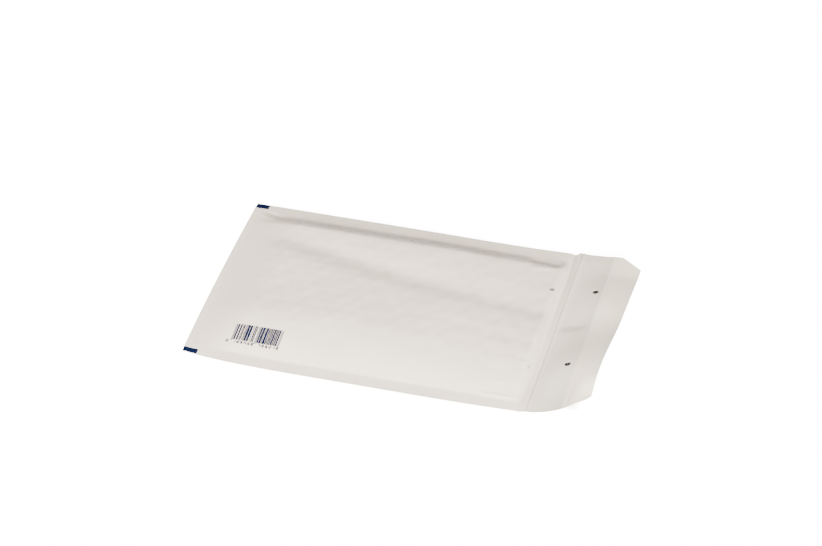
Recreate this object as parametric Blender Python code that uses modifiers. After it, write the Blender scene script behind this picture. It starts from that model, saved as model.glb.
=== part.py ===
"""Padded envelope: a folded paper sheet, its bubble-film lining, and the adhesive strip and
release liner on its open flap.

Frame: X runs along the envelope, from the folded end at -X to the tip of the flap at +X.
Y runs across it, and Z is up. The origin is on the surface that the envelope lies on, under
the middle of its outline. All lengths are in metres.
"""

import math

import bpy
import bmesh

# Driving dimensions of the paper.
BODY_LENGTH = 0.275          # folded end to mouth
BODY_WIDTH = 0.200
FLAP_LENGTH = 0.0506         # mouth to the free edge of the flap, along the paper
NEAR_CHAMFER = 0.0155        # cut-off corners of the flap, along it
FAR_CHAMFER = 0.0175
CHAMFER_ACROSS = 0.014
PAPER = 0.00015              # paper thickness
SEAM = 0.010                 # width of the heat-sealed side seams
SEAM_GAP = 0.001             # clear space between the two papers in a seam
CLEARANCE = 0.0003           # between pieces that touch

# Heights of the paper's closed rim over the surface, at the edge of the side seams.
NEAR_RIM_MIDDLE = 0.0012
NEAR_RIM_FOLD_RISE = 0.0025  # more at the folded end of the near edge
NEAR_RIM_MOUTH_RISE = 0.0004
FAR_RIM = 0.0034
FAR_RIM_RISE = 0.0022        # more at the mouth, over the last part of the length
FAR_RIM_LEVEL_PART = 0.7
RIM_END_POWER = 5            # how close to its ends the near rim rises
SEAM_LIFT = 0.0004           # inner side of a seam, over its edge

# Padding: how high the top stands, and how far in from each edge it is full.
CROWN = 0.0088
CROWN_FALL = 0.0010          # drop from the crown at the mouth
CROWN_FALL_START = 0.160     # from the folded end
CROWN_FALL_RUN = 0.100
NEAR_RUN = 0.058
NEAR_SWELL = 1.8             # how fast the near side rises at first
FAR_RUN = 0.018
FOLD_RUN = 0.044
MOUTH_RUN = 0.0125

# Belly: where the bottom paper comes down to the surface, in from each edge.
BELLY_SIDE_RUN = 0.016
BELLY_FOLD_RUN = 0.024
BELLY_MOUTH_RUN = 0.030

# Lining pouch.
LINING_SETBACK = 0.006       # end of the lining, in from the mouth
LINING_FOLD = 0.002          # lining, in from the folded end
POCKET_SIDE = 0.012          # pocket, in from the side edges
POCKET_FOLD = 0.005          # pocket, in from the folded end
POCKET_HALF_EDGE = 0.00008   # half the pocket's height at its closed edges
POCKET_HALF_CORE = 0.0007    # what the full padding adds to it

# Flap: it springs up from the mouth, most at its near side.
TIP_HEIGHT = 0.0192          # of the flap's free edge over the surface, near side
TIP_FALL = 0.0068            # lower beyond the middle
TIP_FALL_START = -0.055      # across the flap
TIP_FALL_RUN = 0.085
TIP_FAR_FALL = 0.0030        # lower again towards the far side
TIP_FAR_START = 0.025
TIP_FAR_RUN = 0.050
CORNER_DROOP = 0.0036        # near outer corner
CORNER_SIDE = 0.062          # where it starts, out from the middle and out from the mouth
CORNER_SIDE_RUN = 0.028
CORNER_REACH = 0.034
CORNER_REACH_RUN = 0.016
EDGE_SAG = 0.0105            # near edge, where it leaves the mouth
EDGE_SAG_SIDE = 0.045
EDGE_SAG_SIDE_RUN = 0.055
EDGE_SAG_REACH = 0.036
LINER_START = 0.0262         # inner edge of the release liner, from the mouth
LINER_EDGE = 0.0003          # liner, in from the edges of the flap
LINER = 0.0001
GLUE_START = 0.030
GLUE_END = 0.0445
GLUE_EDGE = 0.003            # adhesive, in from the side edges of the flap
GLUE = 0.00015

# Punched holes for paper fasteners.
HOLE = 0.005
FLAP_HOLE_REACH = 0.0215     # from the mouth, along the flap
FLAP_HOLES_ACROSS = (-0.0453, 0.050)
BODY_HOLES = ((0.013, 0.0458), (0.0095, -0.050))   # in from the mouth, across

HALF_WIDTH = BODY_WIDTH / 2
SEAM_LINE = HALF_WIDTH - SEAM
FOLD_RADIUS = (SEAM_GAP + PAPER) / 2
FOLD_CENTRE = FOLD_RADIUS + PAPER / 2


def clamp(t):
    return min(1.0, max(0.0, t))


def smooth(t):
    """Smooth step from 0 to 1."""
    t = clamp(t)
    return t * t * (3.0 - 2.0 * t)


def mix(a, b, t):
    return a + (b - a) * t


def spaced(*spans):
    """Stations along (start, end, pieces) spans that follow each other."""
    stations = [spans[0][0]]
    for start, end, pieces in spans:
        stations += [mix(start, end, (step + 1) / pieces) for step in range(pieces)]
    return stations


# Surfaces of the body: along is the distance from the folded end, and across is Y.

def rim_height(along, across):
    """Middle of the seams, carried across the body."""
    part = along / BODY_LENGTH
    rise = NEAR_RIM_FOLD_RISE if part < 0.5 else NEAR_RIM_MOUTH_RISE
    near = NEAR_RIM_MIDDLE + rise * abs(2 * part - 1) ** RIM_END_POWER
    far = FAR_RIM + FAR_RIM_RISE * smooth((part - FAR_RIM_LEVEL_PART) / (1 - FAR_RIM_LEVEL_PART))
    near_line = near + SEAM_LIFT
    far_line = far + SEAM_LIFT
    if across < -SEAM_LINE:
        return mix(near_line, near, (-SEAM_LINE - across) / SEAM)
    if across > SEAM_LINE:
        return mix(far_line, far, (across - SEAM_LINE) / SEAM)
    return mix(near_line, far_line, (across + SEAM_LINE) / (2 * SEAM_LINE))


def top_fullness(along, across):
    """1 where the padding holds the top paper up, and 0 at the seams, the fold and the mouth."""
    near = 1 - (1 - clamp((SEAM_LINE + across) / NEAR_RUN)) ** NEAR_SWELL
    far = smooth((SEAM_LINE - across) / FAR_RUN)
    fold = smooth((along - FOLD_CENTRE) / FOLD_RUN)
    mouth = smooth((BODY_LENGTH - along) / MOUTH_RUN)
    return near * far * fold * mouth


def belly(along, across):
    """1 where the bottom paper lies flat, and 0 at the seams, the fold and the mouth."""
    side = smooth((SEAM_LINE - abs(across)) / BELLY_SIDE_RUN)
    fold = smooth((along - FOLD_CENTRE) / BELLY_FOLD_RUN)
    mouth = smooth((BODY_LENGTH - along) / BELLY_MOUTH_RUN)
    return side * fold * mouth


def top_height(along, across):
    """Middle of the top paper."""
    rim = rim_height(along, across) + FOLD_RADIUS
    crown = CROWN - CROWN_FALL * smooth((along - CROWN_FALL_START) / CROWN_FALL_RUN)
    return mix(rim, crown, top_fullness(along, across))


def bottom_height(along, across):
    """Middle of the bottom paper, which lies flat on the surface over most of its area."""
    rim = rim_height(along, across) - FOLD_RADIUS
    return mix(rim, PAPER / 2, belly(along, across))


# Surface of the flap: reach is the distance from the mouth, along the paper.

def flap_slope(across):
    tip = TIP_HEIGHT - TIP_FALL * smooth((across - TIP_FALL_START) / TIP_FALL_RUN)
    tip = tip - TIP_FAR_FALL * clamp((across - TIP_FAR_START) / TIP_FAR_RUN)
    return (tip - bottom_height(BODY_LENGTH, across)) / FLAP_LENGTH


def flap_run(reach, across):
    """Level distance that the sloping flap covers."""
    return reach * (1 - flap_slope(across) ** 2 / 2)


FOLD_X = -(BODY_LENGTH + flap_run(FLAP_LENGTH, HALF_WIDTH - CHAMFER_ACROSS)) / 2
MOUTH_X = FOLD_X + BODY_LENGTH


def flap_half_width(reach, side):
    """Half the flap's width, on the near side where side is negative."""
    chamfer = NEAR_CHAMFER if side < 0 else FAR_CHAMFER
    return HALF_WIDTH - CHAMFER_ACROSS * clamp((reach - FLAP_LENGTH) / chamfer + 1)


def flap_point(reach, across, lift=0.0):
    """A point of the flap's middle surface, or lift above it."""
    corner = smooth((-across - CORNER_SIDE) / CORNER_SIDE_RUN)
    corner = corner * smooth((reach - CORNER_REACH) / CORNER_REACH_RUN)
    edge = smooth((-across - EDGE_SAG_SIDE) / EDGE_SAG_SIDE_RUN)
    part = clamp(reach / EDGE_SAG_REACH)
    sag = EDGE_SAG * edge * part * (1 - part)
    rise = reach * flap_slope(across) - CORNER_DROOP * corner - sag
    root = bottom_height(BODY_LENGTH, across)
    return (MOUTH_X + flap_run(reach, across), across, root + rise + lift)


# Modelling helpers.

def new_collection(name):
    made = bpy.data.collections.new(name)
    bpy.context.scene.collection.children.link(made)
    return made


def new_material(name, colour, roughness):
    made = bpy.data.materials.new(name)
    made.use_nodes = True
    shader = made.node_tree.nodes["Principled BSDF"]
    shader.inputs["Base Color"].default_value = (*colour, 1.0)
    shader.inputs["Roughness"].default_value = roughness
    shader.inputs["Metallic"].default_value = 0.0
    made.diffuse_color = (*colour, 1.0)
    return made


def new_object(name, bm, group):
    """An object from a bmesh, with its faces pointing out."""
    bmesh.ops.recalc_face_normals(bm, faces=bm.faces[:])
    mesh = bpy.data.meshes.new(name)
    bm.to_mesh(mesh)
    bm.free()
    mesh.shade_smooth()
    made = bpy.data.objects.new(name, mesh)
    group.objects.link(made)
    return made


def grid_pick(stations, value):
    """The station that a point of a unit grid stands for, from its coordinate."""
    pieces = len(stations) - 1
    return stations[round((value + 1) / 2 * pieces)]


def unit_grid(rows, columns):
    bm = bmesh.new()
    bmesh.ops.create_grid(bm, x_segments=len(rows) - 1, y_segments=len(columns) - 1, size=1.0)
    return bm


def sheet(name, rows, columns, place, thickness, group):
    """A grid laid along a surface by place(row, column), and given its thickness."""
    bm = unit_grid(rows, columns)
    for vert in bm.verts:
        vert.co = place(grid_pick(rows, vert.co.x), grid_pick(columns, vert.co.y))
    made = new_object(name, bm, group)
    solid = made.modifiers.new("thickness", "SOLIDIFY")
    solid.thickness = thickness
    solid.offset = 0.0
    return made


def slab(name, alongs, acrosses, low, high, group):
    """A closed solid between two height functions of (along, across)."""
    bm = unit_grid(alongs, acrosses)
    raised = bmesh.ops.extrude_face_region(bm, geom=bm.faces[:])["geom"]
    upper = {item for item in raised if isinstance(item, bmesh.types.BMVert)}
    for vert in bm.verts:
        along = grid_pick(alongs, vert.co.x)
        across = grid_pick(acrosses, vert.co.y)
        height = high if vert in upper else low
        vert.co = (FOLD_X + along, across, height(along, across))
    return new_object(name, bm, group)


def punch(name, x, y, bottom, top, group):
    """A round cutter that stands from bottom to top."""
    bm = bmesh.new()
    bmesh.ops.create_cone(bm, cap_ends=True, segments=16, radius1=HOLE / 2,
                          radius2=HOLE / 2, depth=top - bottom)
    bmesh.ops.translate(bm, verts=bm.verts[:], vec=(x, y, (top + bottom) / 2))
    return as_cutter(new_object(name, bm, group))


def as_cutter(made):
    made.hide_render = True
    made.display_type = "WIRE"
    return made


def cut(target, cutter):
    step = target.modifiers.new("cut " + cutter.name, "BOOLEAN")
    step.operation = "DIFFERENCE"
    step.solver = "EXACT"
    step.object = cutter


# Stations of the grids, close together where the paper bends.

def body_stations():
    fold_full = FOLD_RUN
    mouth_bend = BODY_LENGTH - BELLY_MOUTH_RUN
    mouth_full = BODY_LENGTH - MOUTH_RUN
    lining_end = BODY_LENGTH - LINING_SETBACK
    return spaced((FOLD_CENTRE, LINING_FOLD, 1), (LINING_FOLD, POCKET_FOLD, 1),
                  (POCKET_FOLD, fold_full, 5), (fold_full, mouth_bend, 9),
                  (mouth_bend, mouth_full, 3), (mouth_full, lining_end, 3),
                  (lining_end, BODY_LENGTH, 4))


def cross_stations():
    near_full = NEAR_RUN - SEAM_LINE
    far_full = SEAM_LINE - FAR_RUN
    return spaced((-HALF_WIDTH, -SEAM_LINE, 1), (-SEAM_LINE, near_full, 8),
                  (near_full, far_full, 4), (far_full, SEAM_LINE, 4),
                  (SEAM_LINE, HALF_WIDTH, 1))


def flap_stations():
    bends = (FLAP_LENGTH - FAR_CHAMFER, FLAP_LENGTH - NEAR_CHAMFER)
    rim = FLAP_LENGTH - LINER_EDGE
    return spaced((0.0, LINER_START, 4), (LINER_START, GLUE_START, 1), (GLUE_START, bends[0], 1),
                  (bends[0], bends[1], 1), (bends[1], GLUE_END, 2), (GLUE_END, rim, 1),
                  (rim, FLAP_LENGTH, 1))


def between(stations, start, end):
    """The stations from start to end, both included."""
    spare = CLEARANCE / 3
    return [station for station in stations if start - spare < station < end + spare]


# The pieces.

def paper_rows():
    """Rows of the sheet: the top inwards from the mouth, the fold, the bottom, the flap."""
    body = body_stations()
    top = [("top", along) for along in reversed(body)]
    turn = [("fold", math.pi * step / 6) for step in range(1, 6)]
    bottom = [("bottom", along) for along in body]
    flap = [("flap", reach) for reach in flap_stations()[1:]]
    return top + turn + bottom + flap


def paper_point(row, across):
    """A point of the paper's middle surface, on one of the rows."""
    part, value = row
    if part == "flap":
        return flap_point(value, across * flap_half_width(value, across) / HALF_WIDTH)
    if part == "top":
        return (FOLD_X + value, across, top_height(value, across))
    if part == "bottom":
        return (FOLD_X + value, across, bottom_height(value, across))
    x = FOLD_X + FOLD_CENTRE - FOLD_RADIUS * math.sin(value)
    return (x, across, rim_height(FOLD_CENTRE, across) + FOLD_RADIUS * math.cos(value))


def body_hole_cutters(group):
    """Punches through the top paper and the padding under it, down into the pocket."""
    cutters = []
    for number, (inset, across) in enumerate(BODY_HOLES, start=1):
        along = BODY_LENGTH - inset
        floor = pocket_middle(along, across)
        name = f"body_hole_cutter_{number}"
        cutters.append(punch(name, FOLD_X + along, across, floor, CROWN * 2, group))
    return cutters


def flap_hole_cutters(group):
    cutters = []
    for number, across in enumerate(FLAP_HOLES_ACROSS, start=1):
        x, y, z = flap_point(FLAP_HOLE_REACH, across)
        name = f"flap_hole_cutter_{number}"
        cutters.append(punch(name, x, y, z - HOLE, z + HOLE, group))
    return cutters


def make_paper(group, body_holes, flap_holes):
    """The one folded sheet: top panel, folded end, bottom panel and flap."""
    paper = sheet("outer_paper", paper_rows(), cross_stations(), paper_point, PAPER, group)
    for cutter in body_holes + flap_holes:
        cut(paper, cutter)
    paper.data.materials.append(new_material("white_paper", (0.74, 0.70, 0.65), 0.75))


def lining_top(along, across):
    return top_height(along, across) - PAPER / 2 - CLEARANCE


def lining_bottom(along, across):
    return bottom_height(along, across) + PAPER / 2 + CLEARANCE


def pocket_middle(along, across):
    return (lining_top(along, across) + lining_bottom(along, across)) / 2


def pocket_half(along, across):
    return POCKET_HALF_EDGE + POCKET_HALF_CORE * top_fullness(along, across)


def pocket_top(along, across):
    return pocket_middle(along, across) + pocket_half(along, across)


def pocket_bottom(along, across):
    return pocket_middle(along, across) - pocket_half(along, across)


def make_lining(group, cutters, body_holes):
    """The bubble film: a folded pouch, fused flat in the side seams and open at the mouth."""
    lining_end = BODY_LENGTH - LINING_SETBACK
    alongs = between(body_stations(), LINING_FOLD, lining_end)
    lining = slab("bubble_lining", alongs, cross_stations(), lining_bottom, lining_top, group)
    side = HALF_WIDTH - POCKET_SIDE
    acrosses = [-side] + between(cross_stations(), -side + CLEARANCE, side - CLEARANCE) + [side]
    pocket_alongs = between(body_stations(), POCKET_FOLD, BODY_LENGTH)
    pocket = slab("pocket_cutter", pocket_alongs, acrosses, pocket_bottom, pocket_top, cutters)
    cut(lining, as_cutter(pocket))
    for cutter in body_holes:
        cut(lining, cutter)
    lining.data.materials.append(new_material("clear_film", (0.80, 0.82, 0.83), 0.25))


def on_flap(lift, edge):
    """Places a sheet over the flap, edge in from its sides."""
    def place(reach, across):
        half = flap_half_width(reach, across)
        across = across * half / HALF_WIDTH
        return flap_point(reach, max(edge - half, min(half - edge, across)), lift)
    return place


def make_adhesive(group):
    """The hot-melt band on the inner face of the flap."""
    lift = PAPER / 2 + CLEARANCE + GLUE / 2
    rows = between(flap_stations(), GLUE_START, GLUE_END)
    strip = sheet("adhesive_strip", rows, cross_stations(), on_flap(lift, GLUE_EDGE), GLUE, group)
    strip.data.materials.append(new_material("hot_melt", (0.80, 0.66, 0.42), 0.3))


def make_liner(group):
    """The release liner that covers the adhesive, cut off with the flap's corners."""
    lift = PAPER / 2 + CLEARANCE + GLUE + CLEARANCE + LINER / 2
    rows = between(flap_stations(), LINER_START, FLAP_LENGTH - LINER_EDGE)
    liner = sheet("release_liner", rows, cross_stations(), on_flap(lift, LINER_EDGE), LINER, group)
    liner.data.materials.append(new_material("release_paper", (0.78, 0.74, 0.66), 0.45))


def main():
    for item in list(bpy.data.objects):
        bpy.data.objects.remove(item, do_unlink=True)
    parts = new_collection("padded_envelope")
    cutters = new_collection("cutters")
    body_holes = body_hole_cutters(cutters)
    flap_holes = flap_hole_cutters(cutters)
    make_paper(parts, body_holes, flap_holes)
    make_lining(parts, cutters, body_holes)
    make_adhesive(parts)
    make_liner(parts)


main()
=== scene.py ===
"""Looks of the padded envelope: its creased paper, bubble film, print, adhesive and liner."""

import math
import random

import bmesh
import bpy
import numpy as np
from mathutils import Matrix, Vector


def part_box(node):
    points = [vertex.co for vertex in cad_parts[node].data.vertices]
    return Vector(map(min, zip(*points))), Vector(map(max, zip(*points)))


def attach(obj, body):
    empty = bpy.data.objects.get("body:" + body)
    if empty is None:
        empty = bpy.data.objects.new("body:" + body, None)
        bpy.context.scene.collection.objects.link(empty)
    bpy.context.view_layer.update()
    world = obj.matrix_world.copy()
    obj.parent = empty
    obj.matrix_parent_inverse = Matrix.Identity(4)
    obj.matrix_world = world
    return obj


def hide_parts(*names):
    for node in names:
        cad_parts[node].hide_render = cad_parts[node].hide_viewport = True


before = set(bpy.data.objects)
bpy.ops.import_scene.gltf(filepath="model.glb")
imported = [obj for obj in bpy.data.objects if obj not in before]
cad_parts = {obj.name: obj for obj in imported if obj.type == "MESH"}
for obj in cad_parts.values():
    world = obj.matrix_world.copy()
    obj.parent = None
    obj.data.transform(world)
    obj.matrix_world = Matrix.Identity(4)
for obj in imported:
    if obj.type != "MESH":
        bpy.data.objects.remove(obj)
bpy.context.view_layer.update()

# Places from the frame, and the paper's own dimensions, in metres.
FOLD_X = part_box("outer_paper")[0][0]
BODY_LENGTH = 0.275
MOUTH_X = FOLD_X + BODY_LENGTH
HALF_WIDTH = 0.100
FLAP_LENGTH = 0.0506
NEAR_CHAMFER = 0.0155        # cut-off corners of the flap, along it
FAR_CHAMFER = 0.0175
CHAMFER_ACROSS = 0.014
PAPER = 0.00015
SEAM = 0.010
SEAM_LINE = HALF_WIDTH - SEAM
WEB = 0.00025                # film fused in the seams
SKIN_GAP = 0.00005           # between pieces that touch
HALF_GAP = WEB / 2 + SKIN_GAP + PAPER / 2
FOLD_CENTRE = HALF_GAP + PAPER / 2

# Closed rim of the seams: heights over the surface, and parts of the body's length.
NEAR_RIM = 0.0005
NEAR_RIM_FOLD_RISE = 0.0032  # more at the folded end of the near edge
NEAR_RIM_MOUTH_RISE = 0.0004
RIM_END_POWER = 5            # how close to its ends the near rim rises
FAR_RIM = 0.0034
FAR_RIM_DIP = 0.0004
DIP_PART, DIP_WIDTH = 0.75, 0.15
FAR_RIM_RISE = 0.0006        # more at the mouth
RISE_PART, RISE_RUN = 0.85, 0.12
SEAM_LIFT = 0.0004           # inner side of a seam, over its edge
RIM_LEAST = 0.00035

# Mouth: the flap lifts its lip, and the paper is pressed down just before it.
LIP_LIFT = (0.0004, 0.0023)  # at the near side and at the far side
LIP_START, LIP_RUN = 0.0066, 0.0062
FOOT_DEPTH = (0.0003, 0.0009)
FOOT_INSET, FOOT_WIDTH = 0.0060, 0.0026
MOUTH_FAR_START, MOUTH_FAR_RUN = -0.060, 0.130

# Padding.
NEAR_RUN = 0.058             # how far in from each edge it is full
NEAR_SWELL = 1.8             # how fast the near side rises at first
FAR_RUN = 0.0175
FOLD_RUN = 0.044
MOUTH_RUN = 0.0075
LIP_FLAT = 0.0052            # flat lip of the top paper at the mouth
CROWN = 0.0085
TROUGH_START, TROUGH_RUN = 0.010, 0.050
TROUGH_LOSS = 0.45           # shallower towards the mouth
TROUGH_LOSS_START, TROUGH_LOSS_RUN = 0.130, 0.100
TROUGH_STEP, TROUGH_STEP_RUN, TROUGH_STEP_LEAD = 0.0008, 0.034, 0.6
TROUGH_DEPTH, TROUGH_WIDTH = 0.0011, 0.0135
FAR_RIDGE, FAR_RIDGE_RUN = 0.0009, 0.040
MOUTH_FALL, MOUTH_FALL_START, MOUTH_FALL_RUN = 0.0010, 0.160, 0.105
SIDE_FALL, SIDE_FALL_RUN = 0.0008, 0.070
MOUTH_RIDGE, MOUTH_RIDGE_INSET, MOUTH_RIDGE_WIDTH = 0.0004, 0.0125, 0.0040
SWELL = 0.00020              # gentle unevenness of the padding
BUBBLE_RELIEF = 0.00009      # the bubbles, felt through the paper
BUBBLE_FADE_START, BUBBLE_FADE_RUN = 0.080, 0.080
RUFFLE = 0.00009
FOLD_LINE_DEPTH, FOLD_LINE_INSET, FOLD_LINE_WIDTH = 0.00012, 0.0050, 0.0010

# Belly: where the bottom paper comes down to the surface, in from each edge.
BELLY_SIDE_RUN = 0.016
BELLY_FOLD_RUN = 0.024
BELLY_MOUTH_RUN = 0.030
BELLY_ROUGHNESS = 0.00012

# Flap.
TIP_HEIGHT = 0.0192          # of its free edge, at the near side
TIP_FALL, TIP_FALL_START, TIP_FALL_RUN = 0.0068, -0.055, 0.085
TIP_FAR_FALL, TIP_FAR_START, TIP_FAR_RUN = 0.0030, 0.025, 0.050
CORNER_DROOP = 0.0036        # near outer corner
CORNER_SHIFT = 0.0006
CORNER_SIDE, CORNER_SIDE_RUN = 0.062, 0.028
CORNER_REACH, CORNER_REACH_RUN = 0.034, 0.016
EDGE_SAG, EDGE_SAG_REACH = 0.0105, 0.036
EDGE_SAG_SIDE, EDGE_SAG_SIDE_RUN = 0.045, 0.055
ARCH, ARCH_ACROSS, ARCH_WIDTH = 0.0012, 0.042, 0.036
CREASE_BEAD, BEAD_REACH, BEAD_WIDTH = 0.0004, 0.0012, 0.0009
BUCKLE, BUCKLE_LEAN = 0.0007, 0.15
BUCKLE_LEAD, BUCKLE_RUN = 0.006, 0.011
BUCKLE_END, BUCKLE_FADE, BUCKLE_RISE = 0.028, 0.008, 0.006
FLAP_SWELL, FLAP_SWELL_RUN = 0.00025, 0.020

# Punched holes for paper fasteners.
HOLE = 0.0050
FLAP_HOLE_REACH = 0.0215     # from the mouth, along the flap
FLAP_HOLES_ACROSS = (-0.0453, 0.0500)
BODY_HOLES = ((0.0130, 0.0458, 0.0020),      # in from the mouth, across, radius
              (0.0095, -0.050, 0.0008))
FILM_HOLE_SPARE = 0.0025     # the film's hole is this much wider all round

MM = 0.001
EDGE_ANGLE = math.radians(50)


# ---------------------------------------------------------------- shapes

def smooth(t):
    t = np.clip(t, 0.0, 1.0)
    return t * t * (3.0 - 2.0 * t)


def mix(a, b, t):
    return a + (b - a) * t


def bump(x, width):
    """A bell of height 1."""
    return np.exp(-(x / width) ** 2)


def crease(a, y, start, end, depth, width):
    """A crease pressed along a line of the top paper, from start to end in (along, across)."""
    ax, ay = start
    dx, dy = end[0] - ax, end[1] - ay
    length = math.hypot(dx, dy)
    along = ((a - ax) * dx + (y - ay) * dy) / length
    off = ((a - ax) * dy - (y - ay) * dx) / length
    run = 0.35 * length
    fade = smooth(along / run + 0.5) * smooth((length - along) / run + 0.5)
    return depth * fade * bump(off, width)


def waves(a, y, seed, size, count):
    """Smooth random undulation, about size from crest to crest, of height 1 or so."""
    rng = random.Random(seed)
    total = np.zeros_like(a)
    for _ in range(count):
        heading = rng.uniform(0, math.pi)
        pitch = size * rng.uniform(0.7, 1.6)
        phase = rng.uniform(0, 2 * math.pi)
        line = a * math.cos(heading) + y * math.sin(heading)
        total = total + np.sin(2 * math.pi * line / pitch + phase)
    return total / math.sqrt(count)


BUBBLE_PITCH = 0.0112


def bubbles(a, y):
    """1 at the crown of each bubble of the film, falling to 0 between them."""
    row_pitch = BUBBLE_PITCH * math.sqrt(3) / 2
    nearest = np.full_like(a, 1.0)
    row = np.round(y / row_pitch)
    for step in (-1, 0, 1):
        line = row + step
        shift = np.mod(line, 2) * 0.5
        column = np.round(a / BUBBLE_PITCH - shift) + shift
        reach = np.hypot(a - column * BUBBLE_PITCH, y - line * row_pitch)
        nearest = np.minimum(nearest, reach)
    return smooth(1.25 - nearest / (0.52 * BUBBLE_PITCH))


def rim(a, y):
    """Middle of the closed seams, carried across the body."""
    part = a / BODY_LENGTH
    end = np.clip(np.abs(2 * part - 1), 0, 1) ** RIM_END_POWER
    near = NEAR_RIM + np.where(part < 0.5, NEAR_RIM_FOLD_RISE, NEAR_RIM_MOUTH_RISE) * end
    far = FAR_RIM - FAR_RIM_DIP * bump(part - DIP_PART, DIP_WIDTH)
    far = far + FAR_RIM_RISE * smooth((part - RISE_PART) / RISE_RUN)
    near_line = near + SEAM_LIFT
    far_line = far + SEAM_LIFT
    body = mix(near_line, far_line, np.clip((y + SEAM_LINE) / (2 * SEAM_LINE), 0, 1))
    body = body + (near - near_line) * np.clip((-SEAM_LINE - y) / SEAM, 0, 1)
    body = body + (far - far_line) * np.clip((y - SEAM_LINE) / SEAM, 0, 1)
    return np.maximum(body + lip_lift(a, y), RIM_LEAST)


def lip_lift(a, y):
    """The flap lifts the lip of the mouth, and the paper is pressed down just before it."""
    lip = smooth((a - BODY_LENGTH + LIP_START) / LIP_RUN)
    foot = bump(BODY_LENGTH - a - FOOT_INSET, FOOT_WIDTH)
    far = smooth((y - MOUTH_FAR_START) / MOUTH_FAR_RUN)
    return lip * mix(*LIP_LIFT, far) - foot * mix(*FOOT_DEPTH, far)


def top_fullness(a, y):
    """1 where the padding holds the top paper up, 0 at the seams, the fold and the mouth."""
    near = 1 - np.clip(1 - (SEAM_LINE + y) / NEAR_RUN, 0, 1) ** NEAR_SWELL
    far = smooth((SEAM_LINE - y) / FAR_RUN)
    fold = smooth((a - FOLD_CENTRE) / FOLD_RUN)
    mouth = smooth((BODY_LENGTH - LIP_FLAT - a) / MOUTH_RUN)
    return near * far * fold * mouth


def valley_line(a):
    """Where the long soft trough runs across the top, from the far fold corner to the mouth."""
    mm = a / MM
    return (64.0 - 0.26 * mm + 0.00028 * mm ** 2) * MM


CREASES = (                  # start and end in (along, across), depth, width
    ((0.136, 0.083), (0.141, 0.077), -0.0005, 0.0012),
    ((0.141, 0.077), (0.147, 0.083), 0.0004, 0.0012),
    ((0.240, 0.070), (0.258, 0.073), 0.0003, 0.0022),
    ((0.236, -0.0875), (0.264, -0.0875), 0.0003, 0.0018),
    ((0.236, 0.082), (0.260, 0.080), -0.0007, 0.0040),
    ((0.263, -0.020), (0.2655, -0.052), -0.0003, 0.0012),
    ((0.008, 0.086), (0.020, 0.080), 0.0003, 0.0012),
    ((0.012, 0.090), (0.026, 0.085), -0.0003, 0.0012),
    ((0.247, -0.074), (0.251, -0.071), 0.0003, 0.0010))


def wrinkles(a, y):
    """Small creases of the top paper, and those that fan out from the near hole."""
    total = np.zeros_like(a)
    for start, end, depth, width in CREASES:
        total = total + crease(a, y, start, end, depth, width)
    along, across = BODY_LENGTH - BODY_HOLES[1][0], BODY_HOLES[1][1]
    for step in range(5):
        turn = math.radians(72 * step + 20)
        ahead, aside = math.cos(turn), math.sin(turn)
        inner = (along + 0.003 * ahead, across + 0.003 * aside)
        outer = (along + 0.009 * ahead, across + 0.009 * aside)
        total = total + crease(a, y, inner, outer, 0.00018 * (-1) ** step, 0.0011)
    return total


def crown(a, y):
    """Height of the padded top, away from its edges."""
    line = y - valley_line(a)
    loss = TROUGH_LOSS * smooth((a - TROUGH_LOSS_START) / TROUGH_LOSS_RUN)
    trough = smooth((a - TROUGH_START) / TROUGH_RUN) * (1 - loss)
    step = TROUGH_STEP * smooth(line / TROUGH_STEP_RUN + TROUGH_STEP_LEAD)
    height = CROWN - trough * (step + TROUGH_DEPTH * bump(line, TROUGH_WIDTH))
    height = height + FAR_RIDGE * trough * smooth(line / FAR_RIDGE_RUN)
    drop = smooth((a - MOUTH_FALL_START) / MOUTH_FALL_RUN)
    height = height - drop * (MOUTH_FALL + SIDE_FALL * smooth(np.abs(y) / SIDE_FALL_RUN))
    ridge = MOUTH_RIDGE * bump(BODY_LENGTH - a - MOUTH_RIDGE_INSET, MOUTH_RIDGE_WIDTH)
    return height + ridge + SWELL * waves(a, y, 3, 0.060, 7)


def top_surface(a, y):
    """Middle of the top paper."""
    full = top_fullness(a, y)
    height = mix(rim(a, y) + HALF_GAP, crown(a, y), full)
    fade = mix(1.0, 0.5, smooth((a - BUBBLE_FADE_START) / BUBBLE_FADE_RUN))
    detail = BUBBLE_RELIEF * bubbles(a, y) * fade
    detail = detail + RUFFLE * waves(a, y, 11, 0.016, 9)
    fold_line = FOLD_LINE_DEPTH * bump(a - FOLD_LINE_INSET, FOLD_LINE_WIDTH)
    return height + full ** 3 * detail + wrinkles(a, y) - fold_line


def bottom_surface(a, y):
    """Middle of the bottom paper, flat where it lies on the surface."""
    side = smooth((SEAM_LINE - np.abs(y)) / BELLY_SIDE_RUN)
    fold = smooth((a - FOLD_CENTRE) / BELLY_FOLD_RUN)
    flat = side * fold * smooth((BODY_LENGTH - a) / BELLY_MOUTH_RUN)
    rough = BELLY_ROUGHNESS * np.abs(waves(a, y, 31, 0.040, 7))
    return mix(rim(a, y) - HALF_GAP, PAPER / 2 + rough, flat)


def flap_slope(y):
    """The flap stands up most at its near side and lies lower beyond a buckle in its middle."""
    tip = TIP_HEIGHT - TIP_FALL * smooth((y - TIP_FALL_START) / TIP_FALL_RUN)
    tip = tip - TIP_FAR_FALL * np.clip((y - TIP_FAR_START) / TIP_FAR_RUN, 0, 1)
    return (tip - flap_root(y)) / FLAP_LENGTH


def flap_root(y):
    return bottom_surface(np.full_like(y, BODY_LENGTH), y)


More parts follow.
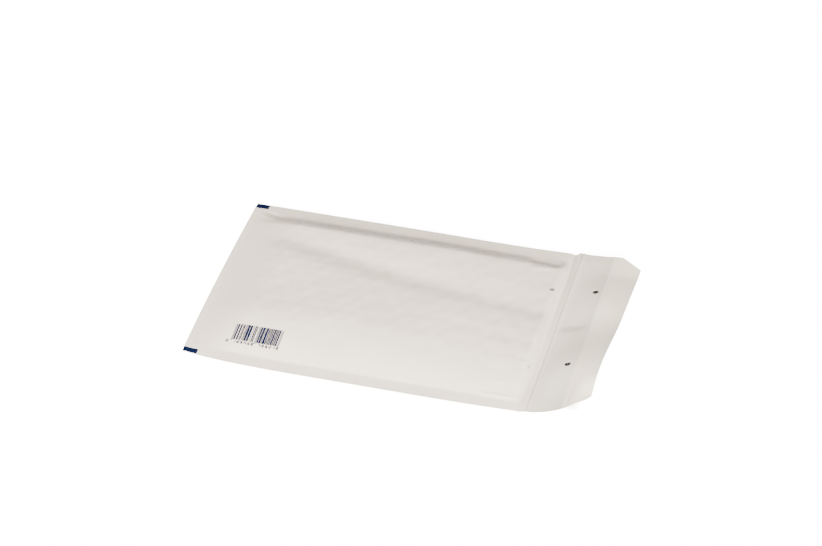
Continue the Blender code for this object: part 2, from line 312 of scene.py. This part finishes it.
def flap_half_width(reach, side):
    """Half the flap's width, on the near side where side is negative."""
    chamfer = np.where(side < 0, NEAR_CHAMFER, FAR_CHAMFER)
    return HALF_WIDTH - CHAMFER_ACROSS * np.clip((reach - FLAP_LENGTH) / chamfer + 1, 0, 1)


def flap_surface(reach, y, lift=0.0):
    """Points of the flap's middle surface, or lift above it."""
    slope = flap_slope(y)
    corner = smooth((-y - CORNER_SIDE) / CORNER_SIDE_RUN)
    corner = corner * smooth((reach - CORNER_REACH) / CORNER_REACH_RUN)
    edge = smooth((-y - EDGE_SAG_SIDE) / EDGE_SAG_SIDE_RUN)
    part = np.clip(reach / EDGE_SAG_REACH, 0, 1)
    arch = np.sin(math.pi * reach / FLAP_LENGTH) * bump(y - ARCH_ACROSS, ARCH_WIDTH)
    rise = reach * slope - CORNER_DROOP * corner
    rise = rise - EDGE_SAG * edge * part * (1 - part) + ARCH * arch
    bead = CREASE_BEAD * bump(reach - BEAD_REACH, BEAD_WIDTH)
    buckle = BUCKLE * smooth((y + BUCKLE_LEAD - BUCKLE_LEAN * reach) / BUCKLE_RUN)
    buckle = buckle * smooth(reach / BUCKLE_RISE) * smooth((BUCKLE_END - reach) / BUCKLE_FADE)
    swell = FLAP_SWELL * waves(reach, y, 21, 0.090, 5) * smooth(reach / FLAP_SWELL_RUN)
    x = MOUTH_X + reach * (1 - slope * slope / 2) + CORNER_SHIFT * corner
    return np.stack([x, y, flap_root(y) + rise + bead - buckle + swell + lift], axis=-1)


# ---------------------------------------------------------------- meshes

def spaced(*spans):
    """Stations along (start, end, pieces) spans that follow each other."""
    parts = [np.array([spans[0][0]])]
    for start, end, pieces in spans:
        parts.append(np.linspace(start, end, pieces + 1)[1:])
    return np.concatenate(parts)


def grid_mesh(name, points, uv=None):
    """A sheet of quads through rows and columns of points, with a map in metres."""
    rows, columns = points.shape[:2]
    index = np.arange(rows * columns).reshape(rows, columns)
    quads = np.stack([index[:-1, :-1], index[1:, :-1], index[1:, 1:], index[:-1, 1:]], axis=-1)
    mesh = bpy.data.meshes.new(name)
    mesh.from_pydata(points.reshape(-1, 3).tolist(), [], quads.reshape(-1, 4).tolist())
    if uv is not None:
        layer = mesh.uv_layers.new(name="sheet")
        corners = uv.reshape(-1, 2)[quads.reshape(-1)]
        layer.uv.foreach_set("vector", corners.astype(np.float32).ravel())
    mesh.shade_smooth()
    made = bpy.data.objects.new(name, mesh)
    bpy.context.scene.collection.objects.link(made)
    return made


def thicken(piece, thickness, other_side=0):
    """Thickness to both sides, whose under side may take another of the piece's materials."""
    solid = piece.modifiers.new("thickness", "SOLIDIFY")
    solid.thickness = thickness
    solid.offset = 0.0
    solid.material_offset = other_side
    solid.material_offset_rim = 0
    return piece


def apply_modifiers(piece):
    """Puts what the modifiers make into the piece's own mesh."""
    shown = piece.evaluated_get(bpy.context.evaluated_depsgraph_get())
    mesh = bpy.data.meshes.new_from_object(shown)
    mesh.name = piece.name
    piece.modifiers.clear()
    piece.data = mesh
    mesh.set_sharp_from_angle(angle=EDGE_ANGLE)


def punches(places):
    """One cutter with a round punch at each (x, y, low, high, radius)."""
    bm = bmesh.new()
    for x, y, low, high, radius in places:
        made = bmesh.ops.create_cone(bm, cap_ends=True, segments=28, radius1=radius,
                                     radius2=radius, depth=high - low)
        bmesh.ops.translate(bm, verts=made["verts"], vec=(x, y, (high + low) / 2))
    mesh = bpy.data.meshes.new("punches")
    bm.to_mesh(mesh)
    bm.free()
    made = bpy.data.objects.new("punches", mesh)
    bpy.context.scene.collection.objects.link(made)
    return made


def cut(piece, cutter):
    step = piece.modifiers.new("holes", "BOOLEAN")
    step.operation = "DIFFERENCE"
    step.solver = "EXACT"
    step.object = cutter
    apply_modifiers(piece)
    bpy.data.objects.remove(cutter, do_unlink=True)


# ---------------------------------------------------------------- materials

def new_material(name, roughness):
    made = bpy.data.materials.new(name)
    made.use_nodes = True
    nodes = made.node_tree.nodes
    shader = nodes["Principled BSDF"]
    shader.inputs["Roughness"].default_value = roughness
    return made, nodes, made.node_tree.links, shader


def node(nodes, kind, **values):
    made = nodes.new(kind)
    for key, value in values.items():
        if key in made.inputs:
            made.inputs[key].default_value = value
        else:
            setattr(made, key, value)
    return made


def sheet_map(nodes):
    made = nodes.new("ShaderNodeUVMap")
    made.uv_map = "sheet"
    return made.outputs["UV"]


def noise(nodes, links, where, scale, detail=3.0, rough=0.5):
    made = nodes.new("ShaderNodeTexNoise")
    made.inputs["Scale"].default_value = scale
    made.inputs["Detail"].default_value = detail
    made.inputs["Roughness"].default_value = rough
    links.new(where, made.inputs["Vector"])
    return made.outputs["Fac"]


def ramp(nodes, links, value, stops):
    made = nodes.new("ShaderNodeValToRGB")
    points = made.color_ramp.elements
    while len(points) < len(stops):
        points.new(0.5)
    for point, (place, colour) in zip(points, stops):
        point.position = place
        point.color = (*colour, 1.0)
    links.new(value, made.inputs["Fac"])
    return made.outputs["Color"]


def bumped(nodes, links, shader, layers):
    """Bump layers of (height, strength, distance), one on another."""
    normal = None
    for height, strength, distance in layers:
        made = nodes.new("ShaderNodeBump")
        made.inputs["Strength"].default_value = strength
        made.inputs["Distance"].default_value = distance
        links.new(height, made.inputs["Height"])
        if normal is not None:
            links.new(normal, made.inputs["Normal"])
        normal = made.outputs["Normal"]
    links.new(normal, shader.inputs["Normal"])


PAPER_BUMP = 0.28


def paper_material(name, light, dark, roughness):
    made, nodes, links, shader = new_material(name, roughness)
    where = sheet_map(nodes)
    clouds = noise(nodes, links, where, 38.0, 4.0, 0.55)
    fibres = noise(nodes, links, where, 1500.0, 3.0, 0.6)
    tone = ramp(nodes, links, clouds, [(0.30, dark), (0.70, light)])
    links.new(tone, shader.inputs["Base Color"])
    crumple = noise(nodes, links, where, 260.0, 4.0, 0.55)
    bumped(nodes, links, shader, [(crumple, PAPER_BUMP, 0.0003),
                                  (fibres, PAPER_BUMP, 0.00004)])
    shader.inputs["Specular IOR Level"].default_value = 0.3
    return made


def film_material():
    made, nodes, links, shader = new_material("bubble_film", 0.18)
    where = noise(nodes, links, node(nodes, "ShaderNodeTexCoord").outputs["Object"], 90.0)
    tone = ramp(nodes, links, where, [(0.35, (0.74, 0.76, 0.77)), (0.65, (0.84, 0.85, 0.86))])
    links.new(tone, shader.inputs["Base Color"])
    shader.inputs["Specular IOR Level"].default_value = 0.6
    bumped(nodes, links, shader, [(where, 0.2, 0.0005)])
    return made


def glue_material():
    made, nodes, links, shader = new_material("hot_melt", 0.22)
    where = noise(nodes, links, sheet_map(nodes), 180.0)
    tone = ramp(nodes, links, where, [(0.3, (0.66, 0.52, 0.30)), (0.7, (0.78, 0.64, 0.40))])
    links.new(tone, shader.inputs["Base Color"])
    bumped(nodes, links, shader, [(where, 0.4, 0.0002)])
    return made


def ink_material(name, colour, worn):
    made, nodes, links, shader = new_material(name, 0.55)
    where = noise(nodes, links, node(nodes, "ShaderNodeTexCoord").outputs["Object"], 900.0)
    tone = ramp(nodes, links, where, [(0.35, colour), (0.75, worn)])
    links.new(tone, shader.inputs["Base Color"])
    shader.inputs["Specular IOR Level"].default_value = 0.08
    return made


GLUE_START = 0.030
GLUE_END = 0.0445
GLUE_EDGE = 0.003            # adhesive, in from the side edges of the flap
TINT_SOFT = 0.001            # half the width over which its tint fades
LINER_START = 0.0262
LINER_SKEW = 0.0026          # its inner edge starts this much later at the near side
LINER_EDGE = 0.0003


def liner_material():
    """Siliconised paper, which the adhesive under it tints."""
    made, nodes, links, shader = new_material("release_liner", 0.42)
    where = sheet_map(nodes)
    parts = node(nodes, "ShaderNodeSeparateXYZ")
    links.new(where, parts.inputs["Vector"])
    wander = noise(nodes, links, where, 60.0, 2.0)
    shift = node(nodes, "ShaderNodeMath", operation="MULTIPLY_ADD")
    links.new(wander, shift.inputs[0])
    shift.inputs[1].default_value = 0.002
    links.new(parts.outputs["X"], shift.inputs[2])
    span = node(nodes, "ShaderNodeMapRange")
    span.inputs["From Min"].default_value = LINER_START
    span.inputs["From Max"].default_value = FLAP_LENGTH + TINT_SOFT
    links.new(shift.outputs[0], span.inputs["Value"])
    length = FLAP_LENGTH + TINT_SOFT - LINER_START

    def place(reach):
        return (reach + TINT_SOFT - LINER_START) / length

    plain = (0.690, 0.638, 0.544)
    tinted = (0.73, 0.660, 0.550)
    tone = ramp(nodes, links, span.outputs["Result"], [
        (place(GLUE_START - TINT_SOFT), plain), (place(GLUE_START + TINT_SOFT), tinted),
        (place(GLUE_END - TINT_SOFT), tinted), (place(GLUE_END + TINT_SOFT), plain)])
    links.new(tone, shader.inputs["Base Color"])
    mottle = noise(nodes, links, where, 120.0, 4.0)
    bumped(nodes, links, shader, [(mottle, 0.25, 0.0002)])
    shader.inputs["Specular IOR Level"].default_value = 0.45
    return made


# ---------------------------------------------------------------- pieces

LIP = 0.0007                 # edge of the top paper, in from the crease
LINING_SETBACK = 0.006       # end of the film, in from the mouth
POCKET_SIDE = 0.012          # pocket, in from the side edges
POCKET_FOLD = 0.005          # pocket, in from the folded end
POCKET_HALF_EDGE = 0.00004   # half the pocket's height at its closed edges
POCKET_HALF_CORE = 0.0007    # what the full padding adds to it
BUBBLE_HEIGHT = 0.0030       # at most
BUBBLE_SHARE = 0.75          # of the film's room, where that is less


NEAR_BOW = 0.0018
FOLD_BOW, FOLD_BOW_RUN = 0.0013, 0.030


def bowed(a, columns):
    """Places across the body, whose near edge bows out a little between the corners."""
    bow = NEAR_BOW * (1 - (2 * a / BODY_LENGTH - 1) ** 4)
    return columns - bow * smooth((-columns - SEAM_LINE) / SEAM)


def place_x(a, y):
    """Where a place on the body lies along X: the padded fold bows out between its corners."""
    bow = FOLD_BOW * (1 - np.clip(np.abs(y) / HALF_WIDTH, 0, 1) ** 2)
    return FOLD_X + a - bow * smooth(1 - a / FOLD_BOW_RUN)


def panel_rows(stations, columns, surface, sign):
    """Rows of points across one panel of the body, and their map."""
    points, maps = [], []
    for a in stations:
        where = np.full_like(columns, a)
        across = bowed(a, columns)
        points.append(np.stack([place_x(where, across), across, surface(where, across)], -1))
        maps.append(np.stack([sign * where, columns], -1))
    return points, maps


def paper_grid():
    """Rows of points along the folded sheet, and their map."""
    columns = np.linspace(-HALF_WIDTH, HALF_WIDTH, 151)
    top = spaced((BODY_LENGTH - LIP, 0.262, 12), (0.262, 0.006, 190), (0.006, FOLD_CENTRE, 5))
    turn = np.linspace(0, math.pi, 9)[1:-1]
    bottom = spaced((FOLD_CENTRE, 0.04, 12), (0.04, 0.24, 20), (0.24, BODY_LENGTH, 16))
    flap = spaced((0.0, 0.004, 6), (0.004, FLAP_LENGTH, 34))[1:]
    points, maps = panel_rows(top, columns, top_surface, 1)
    start = np.full_like(columns, FOLD_CENTRE)
    for angle in turn:
        x = place_x(start, columns) - HALF_GAP * math.sin(angle)
        z = rim(start, columns) + HALF_GAP * math.cos(angle)
        points.append(np.stack([x, columns, z], -1))
        maps.append(np.stack([start - HALF_GAP * angle, columns], -1))
    under, under_maps = panel_rows(bottom, columns, bottom_surface, -1)
    points += under
    maps += under_maps
    for reach in flap:
        across = columns * flap_half_width(reach, columns) / HALF_WIDTH
        where = np.full_like(columns, reach)
        points.append(flap_surface(where, across))
        maps.append(np.stack([-BODY_LENGTH - where, across], -1))
    return np.array(points), np.array(maps)


def flap_holes():
    """(x, y, low, high, radius) of the punches in the flap."""
    places = []
    for across in FLAP_HOLES_ACROSS:
        x, y, z = flap_surface(np.array(FLAP_HOLE_REACH), np.array(across))
        places.append((float(x), float(y), float(z) - HOLE, float(z) + HOLE, HOLE / 2))
    return places


PUNCH_RISE = 0.012           # clears the top paper


def body_holes():
    """(x, y, low, high, radius) of the punches in the top paper and the film under it."""
    places = []
    for inset, across, radius in BODY_HOLES:
        a = BODY_LENGTH - inset
        floor = float(pocket_middle(np.array(a), np.array(across)))
        places.append((FOLD_X + a, across, floor, floor + PUNCH_RISE, radius))
    return places


def make_paper():
    points, maps = paper_grid()
    paper = grid_mesh("paper", points, maps)
    outer = paper_material("white_paper", (0.655, 0.594, 0.513), (0.625, 0.565, 0.486), 0.62)
    # inner face: the same paper as the outer, made darker as painted shade on the flap
    inner = paper_material("paper_inside_painted_shade", (0.575, 0.526, 0.455), (0.550, 0.502, 0.433), 0.60)
    paper.data.materials.append(inner)
    paper.data.materials.append(outer)
    thicken(paper, PAPER, 1)
    cut(paper, punches(flap_holes() + body_holes()))
    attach(paper, "root")
    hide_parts("outer_paper")


def closed_slab(name, alongs, acrosses, top, bottom):
    """A closed solid between two height functions of (along, across)."""
    a, y = np.meshgrid(alongs, acrosses, indexing="ij")
    rows, columns = a.shape
    upper = np.stack([place_x(a, y), y, top(a, y)], -1).reshape(-1, 3)
    lower = np.stack([place_x(a, y), y, bottom(a, y)], -1).reshape(-1, 3)
    index = np.arange(rows * columns).reshape(rows, columns)
    quads = np.stack([index[:-1, :-1], index[1:, :-1], index[1:, 1:], index[:-1, 1:]], -1)
    quads = quads.reshape(-1, 4)
    below = quads[:, ::-1] + rows * columns
    edge = np.concatenate([index[:, 0], index[-1, 1:], index[-2::-1, -1], index[0, -2:0:-1]])
    after = np.roll(edge, -1)
    wall = np.stack([after, edge, edge + rows * columns, after + rows * columns], -1)
    mesh = bpy.data.meshes.new(name)
    mesh.from_pydata(np.concatenate([upper, lower]).tolist(), [],
                     np.concatenate([quads, below, wall]).tolist())
    mesh.shade_smooth()
    made = bpy.data.objects.new(name, mesh)
    bpy.context.scene.collection.objects.link(made)
    return made


def film_wall(a, y):
    """Room for one wall of bubble film at a place, outside the pocket."""
    room = top_surface(a, y) - bottom_surface(a, y) - PAPER - 2 * SKIN_GAP
    return np.maximum(room / 2 - pocket_half(a, y), 0.0)


def pocket_half(a, y):
    return POCKET_HALF_EDGE + POCKET_HALF_CORE * top_fullness(a, y)


def dents(a, y):
    """Depth of the film between its bubbles."""
    return (1 - bubbles(a, y)) * np.minimum(BUBBLE_HEIGHT, BUBBLE_SHARE * film_wall(a, y))


def lining_top(a, y):
    return top_surface(a, y) - PAPER / 2 - SKIN_GAP - dents(a, y)


def lining_bottom(a, y):
    return bottom_surface(a, y) + PAPER / 2 + SKIN_GAP + dents(a, y)


def pocket_middle(a, y):
    return (top_surface(a, y) + bottom_surface(a, y)) / 2


def make_lining(holes):
    """The film pouch: bubbles against the paper, and a thin pocket inside."""
    end = BODY_LENGTH - LINING_SETBACK
    lining = closed_slab("bubble_film", np.linspace(0.0015, end, 215),
                         np.linspace(-HALF_WIDTH, HALF_WIDTH, 161), lining_top, lining_bottom)
    lining.data.materials.append(film_material())
    side = HALF_WIDTH - POCKET_SIDE
    pocket = closed_slab("pocket", np.linspace(POCKET_FOLD, end + 0.002, 60),
                         np.linspace(-side, side, 50),
                         lambda a, y: pocket_middle(a, y) + pocket_half(a, y),
                         lambda a, y: pocket_middle(a, y) - pocket_half(a, y))
    cut(lining, pocket)
    wide = [(x, y, low, high, radius + FILM_HOLE_SPARE) for x, y, low, high, radius in holes]
    cut(lining, punches(wide))
    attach(lining, "root")
    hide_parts("bubble_lining")


GLUE = 0.0001
GLUE_LIFT = PAPER / 2 + 0.00002 + 0.00006
LINER = 0.00005
LINER_LIFT = PAPER / 2 + 0.00004
LINER_OVER_GLUE = 0.00018    # more, where the liner climbs over the adhesive
LINER_CLIMB = 0.002


def make_glue():
    rows = spaced((GLUE_START, GLUE_END, 14))
    columns = np.linspace(-1, 1, 121)
    points = []
    for reach in rows:
        across = columns * (flap_half_width(reach, columns) - GLUE_EDGE)
        points.append(flap_surface(np.full_like(across, reach), across, GLUE_LIFT))
    maps = np.array([[(reach, column * HALF_WIDTH) for column in columns] for reach in rows])
    glue = grid_mesh("adhesive", np.array(points), maps)
    glue.data.materials.append(glue_material())
    apply_modifiers(thicken(glue, GLUE))
    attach(glue, "root")
    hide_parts("adhesive_strip")


def make_liner():
    columns = np.linspace(-1, 1, 161)
    start = LINER_START + LINER_SKEW * (1 - columns) / 2
    points, maps = [], []
    for part in np.linspace(0, 1, 27):
        reach = mix(start, FLAP_LENGTH - LINER_EDGE, part)
        across = columns * (flap_half_width(reach, columns) - LINER_EDGE)
        over = smooth((reach - GLUE_START + LINER_CLIMB) / LINER_CLIMB)
        over = over * smooth((GLUE_END + LINER_CLIMB - reach) / LINER_CLIMB)
        lift = LINER_LIFT + LINER_OVER_GLUE * over
        points.append(flap_surface(reach, across, lift))
        maps.append(np.stack([reach, across], -1))
    liner = grid_mesh("release_liner_strip", np.array(points), np.array(maps))
    liner.data.materials.append(liner_material())
    apply_modifiers(thicken(liner, LINER))
    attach(liner, "root")
    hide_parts("release_liner")


# ---------------------------------------------------------------- print

INK = 0.00002
PRINT_LIFT = PAPER / 2 + 0.00005
BAR_START = 0.0327
BAR_END = 0.0714
BAR_FAR = -0.0597
BAR_NEAR = -0.0768
GUARD_LONGER = 0.0012


def patch(a0, a1, y0, y1, step=0.0008):
    """Corner points of a small field of ink that follows the top paper."""
    rows = np.linspace(a0, a1, max(2, int((a1 - a0) / step) + 2))
    columns = np.linspace(y0, y1, max(2, int((y1 - y0) / step) + 2))
    a, y = np.meshgrid(rows, columns, indexing="ij")
    return np.stack([place_x(a, y), y, top_surface(a, y) + PRINT_LIFT], -1)


def print_piece(name, patches, material):
    """One piece from several fields of ink, each a thin closed skin on the paper."""
    vertices, faces, first = [], [], 0
    for points in patches:
        rows, columns = points.shape[:2]
        index = first + np.arange(rows * columns).reshape(rows, columns)
        quads = np.stack([index[:-1, :-1], index[1:, :-1], index[1:, 1:], index[:-1, 1:]], -1)
        vertices += points.reshape(-1, 3).tolist()
        faces += quads.reshape(-1, 4).tolist()
        first += rows * columns
    mesh = bpy.data.meshes.new(name)
    mesh.from_pydata(vertices, [], faces)
    mesh.shade_smooth()
    mesh.materials.append(material)
    made = bpy.data.objects.new(name, mesh)
    bpy.context.scene.collection.objects.link(made)
    apply_modifiers(thicken(made, INK))
    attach(made, "root")


INK_SPREAD = 0.00010         # ink runs out beyond each side of a bar


def bar_widths():
    """A made-up row of bars: (start, width, kind) in modules, between guard bars."""
    rng = random.Random(5)
    bars, at = [(0, 1, "guard"), (2, 1, "guard")], 4
    for group in range(2):
        stop = at + 42
        while at < stop - 3:
            width = rng.choice((1, 2, 3, 4))
            width = min(width, stop - 1 - at)
            bars.append((at, width, "bar"))
            at += width + rng.choice((1, 1, 2))
        at = stop
        bars += [(at, 1, "guard"), (at + 2, 1, "guard")]
        at += 4
    return bars, at - 1


SEGMENTS = {"0": "abcdef", "1": "bc", "2": "abged", "3": "abgcd", "4": "fgbc", "5": "afgcd",
            "6": "afgecd", "7": "abc", "8": "abcdefg", "9": "abfgcd"}


def digit_patches(text, start, pitch, near, tall, wide, stroke):
    """Plain numbers in straight strokes, upright towards the near edge."""
    found = []
    for place, mark in enumerate(text):
        if mark == " ":
            continue
        left = start + place * pitch
        middle = near + tall / 2
        strokes = {"a": (left, left + wide, near + tall - stroke, near + tall),
                   "g": (left, left + wide, middle - stroke / 2, middle + stroke / 2),
                   "d": (left, left + wide, near, near + stroke),
                   "f": (left, left + stroke, middle, near + tall),
                   "b": (left + wide - stroke, left + wide, middle, near + tall),
                   "e": (left, left + stroke, near, middle),
                   "c": (left + wide - stroke, left + wide, near, middle)}
        found += [patch(*strokes[part]) for part in SEGMENTS[mark]]
    return found


def make_print():
    navy = ink_material("navy_ink", (0.0012, 0.0034, 0.022), (0.004, 0.008, 0.036))
    grey = ink_material("thin_ink", (0.05, 0.055, 0.09), (0.10, 0.11, 0.15))
    bars, modules = bar_widths()
    size = (BAR_END - BAR_START) / modules
    fields = {"bar": [], "guard": []}
    for start, width, kind in bars:
        low = BAR_START + start * size
        near = BAR_NEAR if kind == "bar" else BAR_NEAR - GUARD_LONGER
        high = low + width * size
        fields[kind].append(patch(low - INK_SPREAD, high + INK_SPREAD, near, BAR_FAR))
    print_piece("barcode_bars", fields["bar"], navy)
    print_piece("barcode_guards", fields["guard"], grey)
    text = "0 123456 789012"
    numbers = digit_patches(text, BAR_START - 0.0035, 0.0029, BAR_NEAR - 0.0033, 0.0026,
                            0.0019, 0.00070)
    print_piece("barcode_numbers", numbers, navy)
    corner = [patch(0.0004, 0.0112, 0.0938, 0.0999), patch(0.0004, 0.0118, -0.0999, -0.0946)]
    print_piece("corner_marks", corner, navy)


# ---------------------------------------------------------------- stage

KEY_SIDE = 0.50
KEY_HEIGHT = 0.95
KEY_POWER = 1060.0
FILL_POWER = 20.0
AMBIENT = 0.12
FLOOR_GLOW = 14.0
PAINTED_SHADOW_EDGE, PAINTED_SHADOW_FULL = 0.006, 0.024    # painted shadow under the envelope, from its soft edge to full, in from the envelope's outline
LIGHT_COLOUR = (1.0, 0.94, 0.86)
LENS = 146.85
CAMERA_PLACE = (0.53761, -2.01597, 1.64543)
CAMERA_AIM = (-0.205833, 0.764975, -0.610283)


def outside_painted_shadow(nodes, links):
    """0 under the envelope, where the floor is painted dark as a shadow and does not glow, and 1
    on the floor around it.
    """
    where = node(nodes, "ShaderNodeSeparateXYZ")
    links.new(node(nodes, "ShaderNodeNewGeometry").outputs["Position"], where.inputs["Vector"])
    outside = None
    for axis, low, high in (("X", FOLD_X, MOUTH_X + FLAP_LENGTH), ("Y", -HALF_WIDTH, HALF_WIDTH)):
        away = node(nodes, "ShaderNodeMath", operation="SUBTRACT")
        links.new(where.outputs[axis], away.inputs[0])
        away.inputs[1].default_value = (low + high) / 2
        size = node(nodes, "ShaderNodeMath", operation="ABSOLUTE")
        links.new(away.outputs[0], size.inputs[0])
        past = node(nodes, "ShaderNodeMapRange")
        past.interpolation_type = "SMOOTHSTEP"
        past.inputs["From Min"].default_value = (high - low) / 2 - PAINTED_SHADOW_FULL
        past.inputs["From Max"].default_value = (high - low) / 2 - PAINTED_SHADOW_EDGE
        links.new(size.outputs[0], past.inputs["Value"])
        if outside is None:
            outside = past.outputs["Result"]
        else:
            either = node(nodes, "ShaderNodeMath", operation="MAXIMUM")
            links.new(outside, either.inputs[0])
            links.new(past.outputs["Result"], either.inputs[1])
            outside = either.outputs[0]
    return outside


def floor_material():
    made, nodes, links, shader = new_material("floor", 0.9)
    where = noise(nodes, links, node(nodes, "ShaderNodeTexCoord").outputs["Object"], 3.0)
    tone = ramp(nodes, links, where, [(0.0, (0.92, 0.92, 0.92)), (1.0, (0.94, 0.94, 0.94))])
    clear = outside_painted_shadow(nodes, links)
    painted_shadow_mix = node(nodes, "ShaderNodeMix", data_type="RGBA")
    links.new(clear, painted_shadow_mix.inputs[0])
    # painted shadow: the floor's colour is near black under the envelope
    painted_shadow_mix.inputs[6].default_value = (0.02, 0.02, 0.02, 1.0)
    links.new(tone, painted_shadow_mix.inputs[7])
    links.new(painted_shadow_mix.outputs[2], shader.inputs["Base Color"])
    shader.inputs["Emission Color"].default_value = (1.0, 1.0, 1.0, 1.0)
    # the floor glows evenly only outside the painted shadow
    glow = node(nodes, "ShaderNodeMath", operation="MULTIPLY")
    links.new(clear, glow.inputs[0])
    glow.inputs[1].default_value = FLOOR_GLOW
    links.new(glow.outputs[0], shader.inputs["Emission Strength"])
    return made


def make_floor():
    bpy.ops.mesh.primitive_plane_add(size=14.0, location=(0.0, 3.0, -0.0001))
    floor = bpy.context.object
    floor.name = "floor"
    floor.data.materials.append(floor_material())


def area_light(name, place, target, size, power):
    data = bpy.data.lights.new(name, "AREA")
    data.shape = "RECTANGLE"
    data.size = size
    data.size_y = size
    data.energy = power
    data.color = LIGHT_COLOUR
    made = bpy.data.objects.new(name, data)
    bpy.context.scene.collection.objects.link(made)
    made.location = place
    aim = Vector(target) - Vector(place)
    made.rotation_euler = aim.to_track_quat("-Z", "Y").to_euler()


def make_lights():
    area_light("key", (KEY_SIDE, -2.8, KEY_HEIGHT), (0, 0, 0), 1.5, KEY_POWER)
    area_light("fill", (0.1, 0.3, 2.8), (0, 0, 0), 2.0, FILL_POWER)
    world = bpy.data.worlds.new("studio")
    world.use_nodes = True
    world.node_tree.nodes["Background"].inputs["Color"].default_value = (1.0, 1.0, 1.0, 1.0)
    world.node_tree.nodes["Background"].inputs["Strength"].default_value = AMBIENT
    bpy.context.scene.world = world


def make_camera():
    data = bpy.data.cameras.new("camera")
    data.sensor_width = 36.0
    data.lens = LENS
    data.clip_end = 50.0
    made = bpy.data.objects.new("camera", data)
    bpy.context.scene.collection.objects.link(made)
    made.location = CAMERA_PLACE
    made.rotation_euler = Vector(CAMERA_AIM).to_track_quat("-Z", "Y").to_euler()
    bpy.context.scene.camera = made


make_paper()
make_lining(body_holes())
make_glue()
make_liner()
make_print()
make_floor()
make_lights()
make_camera()
